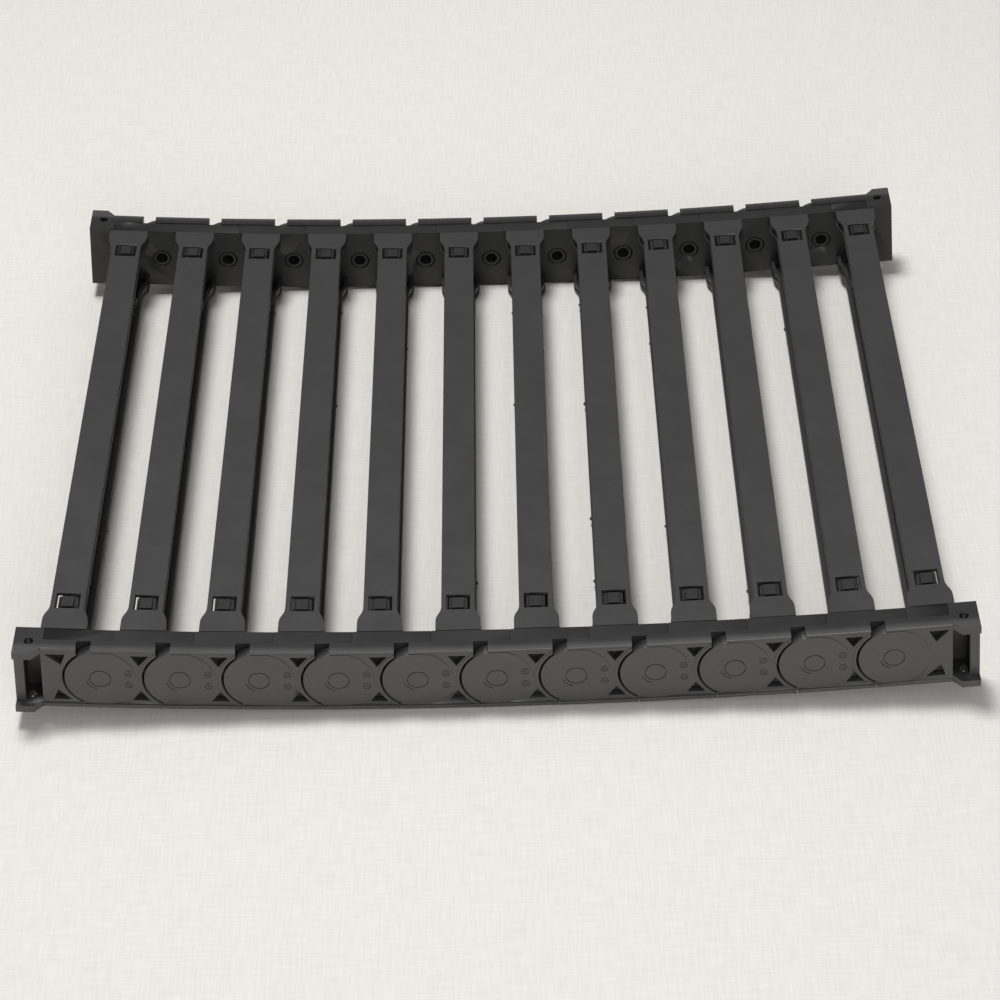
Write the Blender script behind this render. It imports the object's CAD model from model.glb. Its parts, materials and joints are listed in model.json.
"""Cable drag chain: the finish of its side plates, brackets and crossbars, and its studio."""

import json
import math
import random

import bmesh
import bpy
from mathutils import Matrix, Vector


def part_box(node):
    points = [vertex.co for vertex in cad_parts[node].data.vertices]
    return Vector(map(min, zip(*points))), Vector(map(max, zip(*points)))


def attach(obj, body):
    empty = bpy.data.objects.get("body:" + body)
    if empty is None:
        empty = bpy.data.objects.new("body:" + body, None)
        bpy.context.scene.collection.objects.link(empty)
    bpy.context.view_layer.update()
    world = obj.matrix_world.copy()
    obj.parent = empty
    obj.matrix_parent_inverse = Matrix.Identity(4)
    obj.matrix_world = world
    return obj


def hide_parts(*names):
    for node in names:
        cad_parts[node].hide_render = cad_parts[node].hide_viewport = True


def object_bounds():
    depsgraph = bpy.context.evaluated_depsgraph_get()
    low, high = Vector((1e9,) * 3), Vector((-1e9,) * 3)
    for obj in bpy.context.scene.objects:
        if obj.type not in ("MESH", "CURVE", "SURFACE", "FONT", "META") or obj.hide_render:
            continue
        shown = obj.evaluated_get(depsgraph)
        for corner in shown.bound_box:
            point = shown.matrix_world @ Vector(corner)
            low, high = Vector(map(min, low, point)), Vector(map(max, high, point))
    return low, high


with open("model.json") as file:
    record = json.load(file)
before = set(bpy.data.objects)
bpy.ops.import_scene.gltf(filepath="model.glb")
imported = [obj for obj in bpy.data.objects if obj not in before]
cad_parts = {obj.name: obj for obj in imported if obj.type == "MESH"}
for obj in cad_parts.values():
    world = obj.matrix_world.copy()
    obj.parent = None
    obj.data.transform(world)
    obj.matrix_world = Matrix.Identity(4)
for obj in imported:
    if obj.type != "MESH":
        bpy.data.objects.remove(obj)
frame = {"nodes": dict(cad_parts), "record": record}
cad_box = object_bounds()

bl_info = {
    "name": "Cable Drag Chain",
    "version": (1, 0, 0),
    "blender": (4, 5, 0),
    "location": "View3D > Sidebar > Chain",
    "description": "Dresses the parts of an open plastic cable drag chain and sets up its studio",
    "category": "Add Mesh",
}

# ---------- facts read from the frame ----------

BODIES = frame["record"]["behaviour"]["bodies"]

# ---------- fixed values ----------

MM = 0.001
MERGE = 2e-6  # vertices closer than this are one
FLAT = math.radians(0.4)  # faces within this angle are one face
EDGE_ANGLE = math.radians(50)  # edges sharper than this are rounded
CREASE = math.radians(28)  # edges sharper than this stay creased in the shading
ROOM = 2.4  # a rounding needs this many times its radius beside it
GLOSS_SPREAD = 0.11  # roughness varies by this on both sides
DUST_FROM = 12.0 * MM  # dust starts this far inside the outermost face
DUST_FULL = 7.5 * MM  # and is full from here on out
INNER_SHADE = 0.25  # colour of the clean inner faces, of the outer one
PIP_SEED = 11
PIP_PLACES = (0.30, 0.62, 0.84)  # along half a bar, from its middle
PIP_SHIFT = 0.05
PIP_MISSING = 0.35
PIP_SIZES = (0.9, 1.5)
PIP_OUT = 12.1 * MM  # from the middle of the bar
PIP_LEVEL = 0.45  # of the bar's height


def body_of_node(node):
    """The body that a CAD node rides on."""
    return next(body for body, members in BODIES.items() if node in members)


def nodes_with(word):
    """CAD nodes whose names hold a word, in their order."""
    return [node for members in BODIES.values() for node in members if word in node]


# ---------- settings ----------


class ChainPlasticSettings(bpy.types.PropertyGroup):
    """Colours and gloss of the moulded plastic."""

    band_color: bpy.props.FloatVectorProperty(
        name="Side band colour",
        description="Colour of the side plates and brackets",
        subtype="COLOR",
        default=(0.050, 0.0495, 0.050),
        min=0.0,
        max=1.0,
    )
    bar_color: bpy.props.FloatVectorProperty(
        name="Crossbar colour",
        description="Colour of the crossbars",
        subtype="COLOR",
        default=(0.027, 0.0272, 0.028),
        min=0.0,
        max=1.0,
    )
    band_roughness: bpy.props.FloatProperty(
        name="Side band roughness",
        description="Roughness of the side plates and brackets",
        default=0.38,
        min=0.0,
        max=1.0,
    )
    bar_roughness: bpy.props.FloatProperty(
        name="Crossbar roughness",
        description="Roughness of the crossbars",
        default=0.42,
        min=0.0,
        max=1.0,
    )


class ChainEdgeSettings(bpy.types.PropertyGroup):
    """Sizes of the rounded edges."""

    edge_radius: bpy.props.FloatProperty(
        name="Edge radius",
        description="Rounding of the moulded edges that have room for it",
        unit="LENGTH",
        subtype="DISTANCE",
        default=0.45 * MM,
        min=0.05 * MM,
        max=1.0 * MM,
    )
    fine_radius: bpy.props.FloatProperty(
        name="Fine edge radius",
        description="Rounding of edges beside a narrow step or rib",
        unit="LENGTH",
        subtype="DISTANCE",
        default=0.14 * MM,
        min=0.02 * MM,
        max=0.3 * MM,
    )


class ChainStageSettings(bpy.types.PropertyGroup):
    """Floor, lamps and camera."""

    floor_color: bpy.props.FloatVectorProperty(
        name="Floor colour",
        description="Colour of the floor",
        subtype="COLOR",
        default=(0.72, 0.70, 0.665),
        min=0.0,
        max=1.0,
    )
    key_power: bpy.props.FloatProperty(
        name="Key lamp",
        description="Power of the lamp high over the stage",
        unit="POWER",
        default=78.0,
        min=0.0,
    )
    fill_power: bpy.props.FloatProperty(
        name="Fill lamp",
        description="Power of the large low lamp in front of the stage",
        unit="POWER",
        default=44.0,
        min=0.0,
    )
    sky_strength: bpy.props.FloatProperty(
        name="Sky",
        description="Strength of the even light from all round",
        default=0.26,
        min=0.0,
    )
    focal_length: bpy.props.FloatProperty(
        name="Focal length",
        description="Focal length of the camera on a 36 mm wide sensor",
        unit="CAMERA",
        default=100.73,
        min=20.0,
        max=300.0,
    )
    camera_place: bpy.props.FloatVectorProperty(
        name="Camera place",
        description="Where the camera stands",
        subtype="TRANSLATION",
        unit="LENGTH",
        default=(0.02437, -1.72142, 1.37781),
    )
    camera_aim: bpy.props.FloatVectorProperty(
        name="Camera aim",
        description="Heading from +Y, dip below the horizon and roll of the camera",
        subtype="EULER",
        unit="ROTATION",
        default=(math.radians(-0.7071), math.radians(39.3227), math.radians(-2.019)),
    )


# ---------- materials ----------


def new_material(name):
    """An empty node material and its Principled shader."""
    material = bpy.data.materials.new(name)
    material.use_nodes = True
    return material, material.node_tree, material.node_tree.nodes["Principled BSDF"]


def add_node(tree, kind, **values):
    """A shader node with its properties and inputs set by name."""
    node = tree.nodes.new("ShaderNode" + kind)
    for key, value in values.items():
        if hasattr(node, key):
            setattr(node, key, value)
        else:
            node.inputs[key.replace("_", " ").title()].default_value = value
    return node


def object_pattern(tree, kind, stretch=(1.0, 1.0, 1.0), **values):
    """A texture node on Object coordinates, stretched along the axes."""
    place = tree.nodes.new("ShaderNodeTexCoord")
    mapping = tree.nodes.new("ShaderNodeMapping")
    mapping.inputs["Scale"].default_value = stretch
    tree.links.new(place.outputs["Object"], mapping.inputs["Vector"])
    node = add_node(tree, kind, **values)
    tree.links.new(mapping.outputs["Vector"], node.inputs["Vector"])
    return node


def ramp(tree, source, low, high):
    """Maps a texture's value to a range."""
    node = add_node(tree, "MapRange")
    node.inputs["To Min"].default_value = low
    node.inputs["To Max"].default_value = high
    tree.links.new(source, node.inputs["Value"])
    return node.outputs["Result"]


def handled_mask(tree, outer):
    """1 on faces that hands and dust reach, 0 between the side bands; read from the side-to-side place."""
    place = tree.nodes.new("ShaderNodeTexCoord")
    split = tree.nodes.new("ShaderNodeSeparateXYZ")
    side = add_node(tree, "Math", operation="ABSOLUTE")
    mask = add_node(tree, "MapRange")
    mask.inputs["From Min"].default_value = outer - DUST_FROM
    mask.inputs["From Max"].default_value = outer - DUST_FULL
    mask.inputs["To Min"].default_value = INNER_SHADE
    tree.links.new(place.outputs["Object"], split.inputs["Vector"])
    tree.links.new(split.outputs["Y"], side.inputs[0])
    tree.links.new(side.outputs["Value"], mask.inputs["Value"])
    return mask.outputs["Result"]


def moulded_plastic(name, color, roughness, flow, flow_stretch, outer=None):
    """Black glass-filled nylon: fine grain, soft flow marks, and a little dust and wear in the colour."""
    material, tree, shader = new_material(name)
    shader.inputs["IOR"].default_value = 1.5
    cloudy = object_pattern(tree, "TexNoise", flow_stretch, scale=flow, detail=3.0)
    dusty = object_pattern(tree, "TexNoise", scale=420.0, detail=6.0, roughness=0.7)
    worn = object_pattern(tree, "TexNoise", scale=38.0, detail=5.0, roughness=0.62)
    # colour: the base, paler where it is dusty or rubbed
    tint = add_node(tree, "Mix", data_type="RGBA")
    tint.inputs["A"].default_value = (*[c * 0.86 for c in color], 1.0)
    tint.inputs["B"].default_value = (*[c * 1.17 for c in color], 1.0)
    tree.links.new(cloudy.outputs["Fac"], tint.inputs["Factor"])
    dust = add_node(tree, "Mix", data_type="RGBA")
    dust.inputs["B"].default_value = (0.118, 0.117, 0.113, 1.0)
    speckle = add_node(tree, "MapRange")
    speckle.inputs["From Min"].default_value = 0.60
    speckle.inputs["From Max"].default_value = 0.80
    speckle.inputs["To Max"].default_value = 0.34
    tree.links.new(dusty.outputs["Fac"], speckle.inputs["Value"])
    tree.links.new(speckle.outputs["Result"], dust.inputs["Factor"])
    tree.links.new(tint.outputs["Result"], dust.inputs["A"])
    finish = dust.outputs["Result"]
    if outer:
        shade = add_node(tree, "Mix", data_type="RGBA", blend_type="MULTIPLY")
        shade.inputs["Factor"].default_value = 1.0
        tree.links.new(finish, shade.inputs["A"])
        tree.links.new(handled_mask(tree, outer), shade.inputs["B"])
        finish = shade.outputs["Result"]
    tree.links.new(finish, shader.inputs["Base Color"])
    gloss = ramp(tree, worn.outputs["Fac"], roughness - GLOSS_SPREAD, roughness + GLOSS_SPREAD)
    tree.links.new(gloss, shader.inputs["Roughness"])
    # surface: grain over long flow marks
    grain = add_node(tree, "Bump", strength=0.10, distance=0.00012)
    swell = add_node(tree, "Bump", strength=0.22, distance=0.0006)
    tree.links.new(dusty.outputs["Fac"], grain.inputs["Height"])
    tree.links.new(cloudy.outputs["Fac"], swell.inputs["Height"])
    tree.links.new(swell.outputs["Normal"], grain.inputs["Normal"])
    tree.links.new(grain.outputs["Normal"], shader.inputs["Normal"])
    return material


def band_plastic():
    """Plastic of the side plates and brackets."""
    look = bpy.context.scene.chain_plastic
    return moulded_plastic(
        "side_band_plastic",
        look.band_color,
        look.band_roughness,
        flow=55.0,
        flow_stretch=(1.0, 1.0, 1.6),
        outer=cad_box[1].y,
    )


def bar_plastic():
    """Plastic of the crossbars, with sink waves along their length."""
    look = bpy.context.scene.chain_plastic
    return moulded_plastic(
        "crossbar_plastic",
        look.bar_color,
        look.bar_roughness,
        flow=26.0,
        flow_stretch=(1.6, 1.0, 1.0),
    )


def floor_cloth():
    """Pale floor with a faint linen weave."""
    look = bpy.context.scene.chain_stage
    material, tree, shader = new_material("floor_cloth")
    shader.inputs["Roughness"].default_value = 0.9
    warp = object_pattern(tree, "TexNoise", (620.0, 40.0, 1.0), scale=1.0, detail=2.0)
    weft = object_pattern(tree, "TexNoise", (40.0, 520.0, 1.0), scale=1.0, detail=2.0)
    both = add_node(tree, "Math", operation="ADD")
    tree.links.new(warp.outputs["Fac"], both.inputs[0])
    tree.links.new(weft.outputs["Fac"], both.inputs[1])
    shade = add_node(tree, "MapRange")
    shade.inputs["From Min"].default_value = 0.6
    shade.inputs["From Max"].default_value = 1.4
    shade.inputs["To Min"].default_value = 0.91
    shade.inputs["To Max"].default_value = 1.05
    tree.links.new(both.outputs["Value"], shade.inputs["Value"])
    color = add_node(tree, "VectorMath", operation="SCALE")
    color.inputs[0].default_value = look.floor_color
    tree.links.new(shade.outputs["Result"], color.inputs["Scale"])
    tree.links.new(color.outputs["Vector"], shader.inputs["Base Color"])
    bump = add_node(tree, "Bump", strength=0.25, distance=0.0002)
    tree.links.new(both.outputs["Value"], bump.inputs["Height"])
    tree.links.new(bump.outputs["Normal"], shader.inputs["Normal"])
    return material


def material_once(maker):
    """The material that a function makes, made once."""
    key = "chain_" + maker.__name__
    found = bpy.data.materials.get(bpy.context.scene.get(key, ""))
    if found is None:
        found = maker()
        bpy.context.scene[key] = found.name
    return found


# ---------- rounding a moulded part ----------


def room_beside(face, edge):
    """How far a face runs beside one of its edges before it meets another part of its outline."""
    a, b = (v.co for v in edge.verts)
    run = b - a
    middle = (a + b) / 2
    room = 1.0
    for other in face.edges:
        if other is edge or set(other.verts) & set(edge.verts):
            continue
        c, d = (v.co for v in other.verts)
        span = d - c
        for point, start, line in ((middle, c, span), (c, a, run), (d, a, run)):
            t = max(0.0, min(1.0, (point - start).dot(line) / line.length_squared))
            if line is span or 0.0 < t < 1.0:
                room = min(room, (point - start - line * t).length)
    return room


def edges_to_round(bm, angle, room):
    """Edges sharper than an angle that have a given room on both faces and no short edge at their ends."""
    picked = []
    for edge in bm.edges:
        if len(edge.link_faces) != 2 or edge.calc_face_angle(0.0) < angle:
            continue
        ends = [other.calc_length() for vert in edge.verts for other in vert.link_edges]
        if min(ends) < 0.45 * room:
            continue
        if all(room_beside(face, edge) > room for face in edge.link_faces):
            picked.append(edge)
    return picked


def rounded_copy(node, name, material):
    """A copy of a CAD node with its moulded edges rounded, riding on the node's body in its place."""
    edges = bpy.context.scene.chain_edges
    bm = bmesh.new()
    bm.from_mesh(frame["nodes"][node].data)
    bmesh.ops.remove_doubles(bm, verts=bm.verts, dist=MERGE)
    bmesh.ops.dissolve_limit(
        bm, angle_limit=FLAT, verts=bm.verts, edges=bm.edges, use_dissolve_boundaries=False
    )
    for radius in (edges.edge_radius, edges.fine_radius):
        bmesh.ops.bevel(
            bm,
            geom=edges_to_round(bm, EDGE_ANGLE, ROOM * radius),
            offset=radius,
            offset_type="OFFSET",
            segments=1,
            profile=0.5,
            affect="EDGES",
            clamp_overlap=True,
            material=-1,
        )
        bmesh.ops.remove_doubles(bm, verts=bm.verts, dist=MERGE)
    mesh = bpy.data.meshes.new(name)
    bm.to_mesh(mesh)
    bm.free()
    mesh.materials.append(material)
    mesh.shade_smooth()
    mesh.set_sharp_from_angle(angle=CREASE)
    piece = bpy.data.objects.new(name, mesh)
    bpy.context.scene.collection.objects.link(piece)
    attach(piece, body_of_node(node))
    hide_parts(node)
    return piece


# ---------- operators ----------


class CHAIN_OT_link_plates(bpy.types.Operator):
    """Finishes the side plates of the links"""

    bl_idname = "chain.link_plates"
    bl_label = "Link side plates"

    def execute(self, context):
        material = material_once(band_plastic)
        for node in nodes_with("_plate_"):
            rounded_copy(node, "finished_" + node, material)
        return {"FINISHED"}


class CHAIN_OT_brackets(bpy.types.Operator):
    """Finishes the four plates of the end brackets"""

    bl_idname = "chain.brackets"
    bl_label = "End brackets"

    def execute(self, context):
        material = material_once(band_plastic)
        for node in nodes_with("_bracket_"):
            rounded_copy(node, "finished_" + node, material)
        return {"FINISHED"}


class CHAIN_OT_crossbars(bpy.types.Operator):
    """Finishes the crossbars"""

    bl_idname = "chain.crossbars"
    bl_label = "Crossbars"

    def execute(self, context):
        material = material_once(bar_plastic)
        for node in nodes_with("_bar"):
            rounded_copy(node, "finished_" + node, material)
        return {"FINISHED"}


class CHAIN_OT_moulding_pips(bpy.types.Operator):
    """Adds the small pips of flash along the free edges of the crossbars' walls"""

    bl_idname = "chain.moulding_pips"
    bl_label = "Moulding pips"

    def execute(self, context):
        material = material_once(bar_plastic)
        rng = random.Random(PIP_SEED)
        for node in nodes_with("_bottom_bar"):
            low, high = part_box(node)
            half = (high.y - low.y) / 2
            middle = (low.x + high.x) / 2
            level = low.z + PIP_LEVEL * (high.z - low.z)
            bm = bmesh.new()
            for end in (-1, 1):
                for share in PIP_PLACES:
                    if rng.random() < PIP_MISSING:
                        continue
                    side = rng.choice((-1, 1))
                    size = rng.uniform(*PIP_SIZES) * MM
                    along = share + rng.uniform(-PIP_SHIFT, PIP_SHIFT)
                    place = (middle + side * PIP_OUT, end * half * along, level)
                    made = bmesh.ops.create_icosphere(bm, subdivisions=2, radius=size)["verts"]
                    bmesh.ops.scale(bm, vec=(1.0, 1.5, 0.8), verts=made)
                    bmesh.ops.translate(bm, vec=place, verts=made)
            name = "pips_" + node
            mesh = bpy.data.meshes.new(name)
            bm.to_mesh(mesh)
            bm.free()
            if not mesh.vertices:
                continue
            mesh.materials.append(material)
            mesh.shade_smooth()
            piece = bpy.data.objects.new(name, mesh)
            context.scene.collection.objects.link(piece)
            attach(piece, body_of_node(node))
        return {"FINISHED"}


class CHAIN_OT_stage(bpy.types.Operator):
    """Adds the floor, the lamps and the camera"""

    bl_idname = "chain.stage"
    bl_label = "Stage"

    def execute(self, context):
        scene = context.scene
        look = scene.chain_stage
        bm = bmesh.new()
        bmesh.ops.create_grid(bm, x_segments=1, y_segments=1, size=4.0)
        mesh = bpy.data.meshes.new("floor")
        bm.to_mesh(mesh)
        bm.free()
        mesh.materials.append(material_once(floor_cloth))
        floor = bpy.data.objects.new("floor", mesh)
        scene.collection.objects.link(floor)
        add_lamp("key", (-0.35, 0.35, 3.0), (0.0, 0.0, 0.0), 0.7, look.key_power)
        add_lamp("fill", (0.5, -3.0, 1.1), (0.0, 0.0, 0.0), 1.6, look.fill_power)
        world = bpy.data.worlds.new("studio")
        world.use_nodes = True
        sky = world.node_tree.nodes["Background"]
        sky.inputs["Color"].default_value = (1.0, 0.99, 0.97, 1.0)
        sky.inputs["Strength"].default_value = look.sky_strength
        scene.world = world
        scene.view_settings.view_transform = "Standard"
        add_camera()
        return {"FINISHED"}


def add_lamp(name, place, target, size, power):
    """A square soft lamp that faces a point."""
    lamp = bpy.data.lights.new(name, "AREA")
    lamp.shape = "SQUARE"
    lamp.size = size
    lamp.energy = power
    holder = bpy.data.objects.new(name, lamp)
    holder.location = place
    holder.rotation_euler = (Vector(target) - Vector(place)).to_track_quat("-Z", "Y").to_euler()
    bpy.context.scene.collection.objects.link(holder)


def add_camera():
    """The camera, in front of the right side band and looking down across the chain."""
    look = bpy.context.scene.chain_stage
    camera = bpy.data.cameras.new("camera")
    camera.sensor_width = 36.0
    camera.lens = look.focal_length
    camera.clip_end = 20.0
    holder = bpy.data.objects.new("camera", camera)
    heading, dip, roll = look.camera_aim
    level = math.cos(dip)
    forward = Vector((math.sin(heading) * level, math.cos(heading) * level, -math.sin(dip)))
    right = forward.cross(Vector((0.0, 0.0, 1.0))).normalized()
    turn = Matrix.Rotation(-roll, 3, forward)
    right = turn @ right
    rows = Matrix((right, right.cross(forward), -forward)).transposed()
    holder.matrix_world = Matrix.Translation(look.camera_place) @ rows.to_4x4()
    bpy.context.scene.collection.objects.link(holder)
    bpy.context.scene.camera = holder


class CHAIN_PT_panel(bpy.types.Panel):
    """Lists the chain's settings and operators"""

    bl_idname = "CHAIN_PT_panel"
    bl_label = "Cable drag chain"
    bl_space_type = "VIEW_3D"
    bl_region_type = "UI"
    bl_category = "Chain"

    def draw(self, context):
        for group in (context.scene.chain_plastic, context.scene.chain_edges, context.scene.chain_stage):
            for key in group.__annotations__:
                self.layout.prop(group, key)
        for step in STEPS:
            self.layout.operator(step.bl_idname)


SETTINGS = {
    "chain_plastic": ChainPlasticSettings,
    "chain_edges": ChainEdgeSettings,
    "chain_stage": ChainStageSettings,
}
STEPS = (
    CHAIN_OT_link_plates,
    CHAIN_OT_brackets,
    CHAIN_OT_crossbars,
    CHAIN_OT_moulding_pips,
    CHAIN_OT_stage,
)


def register():
    for name, group in SETTINGS.items():
        bpy.utils.register_class(group)
        setattr(bpy.types.Scene, name, bpy.props.PointerProperty(type=group))
    for cls in (*STEPS, CHAIN_PT_panel):
        bpy.utils.register_class(cls)


def unregister():
    for cls in (CHAIN_PT_panel, *reversed(STEPS)):
        bpy.utils.unregister_class(cls)
    for name, group in SETTINGS.items():
        delattr(bpy.types.Scene, name)
        bpy.utils.unregister_class(group)


def main():
    """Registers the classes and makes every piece."""
    register()
    for step in STEPS:
        group, name = step.bl_idname.split(".")
        getattr(getattr(bpy.ops, group), name)()


if __name__ == "__main__":
    main()
